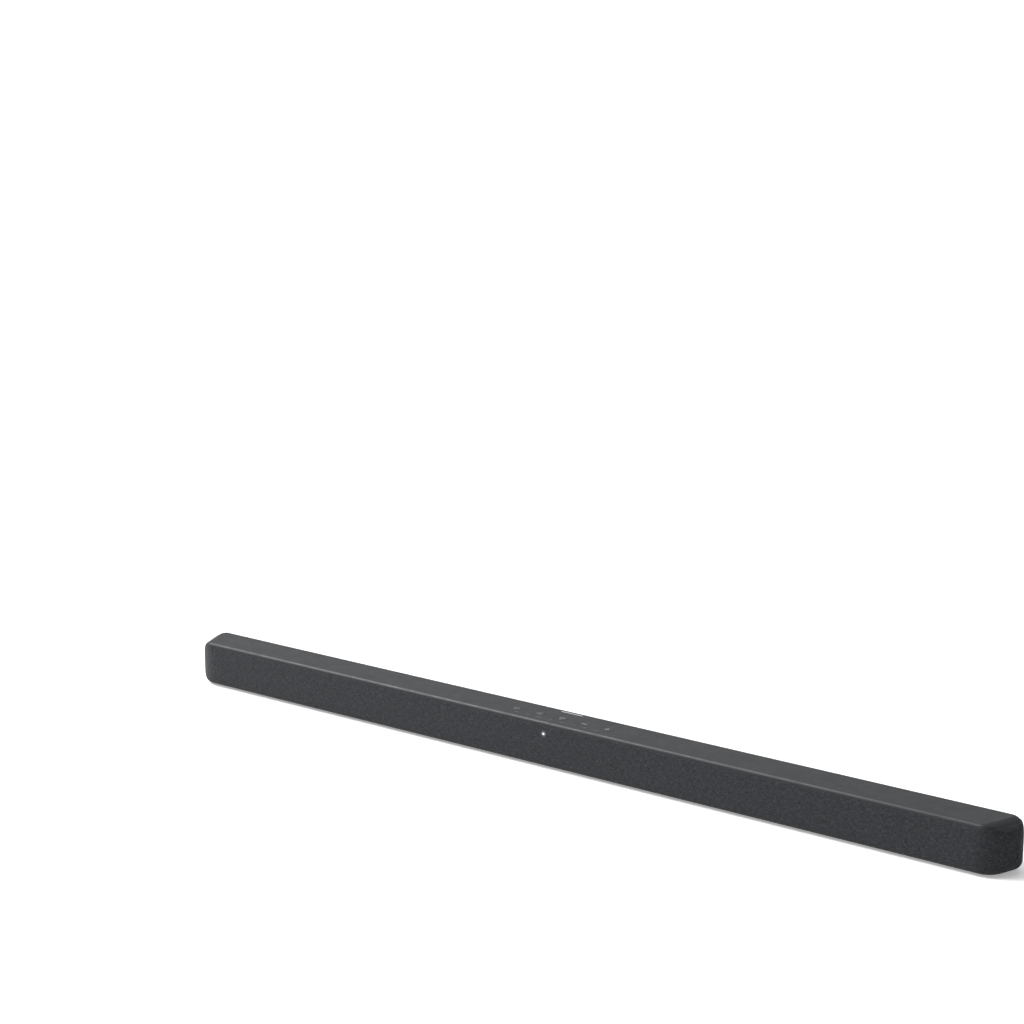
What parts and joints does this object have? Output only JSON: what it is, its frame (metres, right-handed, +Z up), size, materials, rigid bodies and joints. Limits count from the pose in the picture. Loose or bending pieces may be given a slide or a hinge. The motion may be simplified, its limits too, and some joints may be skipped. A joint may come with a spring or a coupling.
{
  "type": "soundbar",
  "caption": "Slim cloth-fronted soundbar with rounded ends, a flat top cover with push keys, full-range drivers and a rear connector bay.",
  "frame": {"origin": "on the surface the bar stands on, under the middle of its box", "axes": "+X along the bar to the right seen from the front, -Y towards the listener, +Z up"},
  "size_m": [0.803, 0.0386, 0.0405],
  "materials": {
    "cover_plastic": "satin",
    "grille_cloth": "matte",
    "cabinet_plastic": "matte",
    "frame_plastic": "matte",
    "box_plastic": "matte",
    "basket_metal": "satin",
    "magnet_steel": "satin",
    "paper_cone": "matte",
    "surround_rubber": "matte",
    "coil_copper": "satin",
    "circuit_board": "satin",
    "heat_sink_metal": "satin",
    "shield_metal": "satin",
    "transformer_tape": "satin",
    "capacitor_sleeve": "gloss",
    "socket_plastic": "satin",
    "clear_plastic": "gloss",
    "receiver_plastic": "gloss",
    "foot_rubber": "matte",
    "screw_steel": "satin",
    "lead_sheath": "satin"
  },
  "bodies": {
    "housing": {"rear_cabinet": "cabinet_plastic", "top_cover": "cover_plastic", "grille_frame": "frame_plastic", "grille_fabric": "grille_cloth", "speaker_box_left": "box_plastic", "speaker_box_right": "box_plastic", "driver_basket_1": "basket_metal", "driver_magnet_1": "magnet_steel", "driver_surround_1": "surround_rubber", "driver_basket_2": "basket_metal", "driver_magnet_2": "magnet_steel", "driver_surround_2": "surround_rubber", "driver_basket_3": "basket_metal", "driver_magnet_3": "magnet_steel", "driver_surround_3": "surround_rubber", "driver_basket_4": "basket_metal", "driver_magnet_4": "magnet_steel", "driver_surround_4": "surround_rubber", "key_board": "circuit_board", "power_board": "circuit_board", "transformer": "transformer_tape", "mains_capacitor": "capacitor_sleeve", "main_board": "circuit_board", "heat_sink": "heat_sink_metal", "wireless_module": "shield_metal", "connector_panel": "cabinet_plastic", "ac_inlet": "socket_plastic", "digital_av_socket": "shield_metal", "optical_socket": "socket_plastic", "service_socket": "shield_metal", "aux_socket": "socket_plastic", "indicator_board": "circuit_board", "light_guide": "clear_plastic", "remote_receiver": "receiver_plastic", "wall_plate_left": "screw_steel", "wall_plate_right": "screw_steel", "speaker_lead_left": "lead_sheath", "speaker_lead_right": "lead_sheath", "foot_pad_1": "foot_rubber", "cover_screw_1": "screw_steel", "foot_pad_2": "foot_rubber", "cover_screw_2": "screw_steel", "foot_pad_3": "foot_rubber", "cover_screw_3": "screw_steel", "foot_pad_4": "foot_rubber", "cover_screw_4": "screw_steel"},
    "power_key_body": {"power_key": "cover_plastic"},
    "source_key_body": {"source_key": "cover_plastic"},
    "pairing_key_body": {"pairing_key": "cover_plastic"},
    "volume_down_key_body": {"volume_down_key": "cover_plastic"},
    "volume_up_key_body": {"volume_up_key": "cover_plastic"},
    "cone_assembly_1": {"driver_cone_1": "paper_cone", "voice_coil_1": "coil_copper"},
    "cone_assembly_2": {"driver_cone_2": "paper_cone", "voice_coil_2": "coil_copper"},
    "cone_assembly_3": {"driver_cone_3": "paper_cone", "voice_coil_3": "coil_copper"},
    "cone_assembly_4": {"driver_cone_4": "paper_cone", "voice_coil_4": "coil_copper"}
  },
  "joints": [
    {"name": "power_key_press", "type": "slide", "parent": "housing", "child": "power_key_body", "axis": [0, 0, -1], "range_m": [0, 0.0006], "stiffness_N_per_m": 1200, "springref_m": -0.0003},
    {"name": "source_key_press", "type": "slide", "parent": "housing", "child": "source_key_body", "axis": [0, 0, -1], "range_m": [0, 0.0006], "stiffness_N_per_m": 1200, "springref_m": -0.0003},
    {"name": "pairing_key_press", "type": "slide", "parent": "housing", "child": "pairing_key_body", "axis": [0, 0, -1], "range_m": [0, 0.0006], "stiffness_N_per_m": 1200, "springref_m": -0.0003},
    {"name": "volume_down_key_press", "type": "slide", "parent": "housing", "child": "volume_down_key_body", "axis": [0, 0, -1], "range_m": [0, 0.0006], "stiffness_N_per_m": 1200, "springref_m": -0.0003},
    {"name": "volume_up_key_press", "type": "slide", "parent": "housing", "child": "volume_up_key_body", "axis": [0, 0, -1], "range_m": [0, 0.0006], "stiffness_N_per_m": 1200, "springref_m": -0.0003},
    {"name": "cone_travel_1", "type": "slide", "parent": "housing", "child": "cone_assembly_1", "axis": [0, -1, 0], "range_m": [-0.0015, 0.0015], "stiffness_N_per_m": 900},
    {"name": "cone_travel_2", "type": "slide", "parent": "housing", "child": "cone_assembly_2", "axis": [0, -1, 0], "range_m": [-0.0015, 0.0015], "stiffness_N_per_m": 900},
    {"name": "cone_travel_3", "type": "slide", "parent": "housing", "child": "cone_assembly_3", "axis": [0, -1, 0], "range_m": [-0.0015, 0.0015], "stiffness_N_per_m": 900},
    {"name": "cone_travel_4", "type": "slide", "parent": "housing", "child": "cone_assembly_4", "axis": [0, -1, 0], "range_m": [-0.0015, 0.0015], "stiffness_N_per_m": 900}
  ]
}
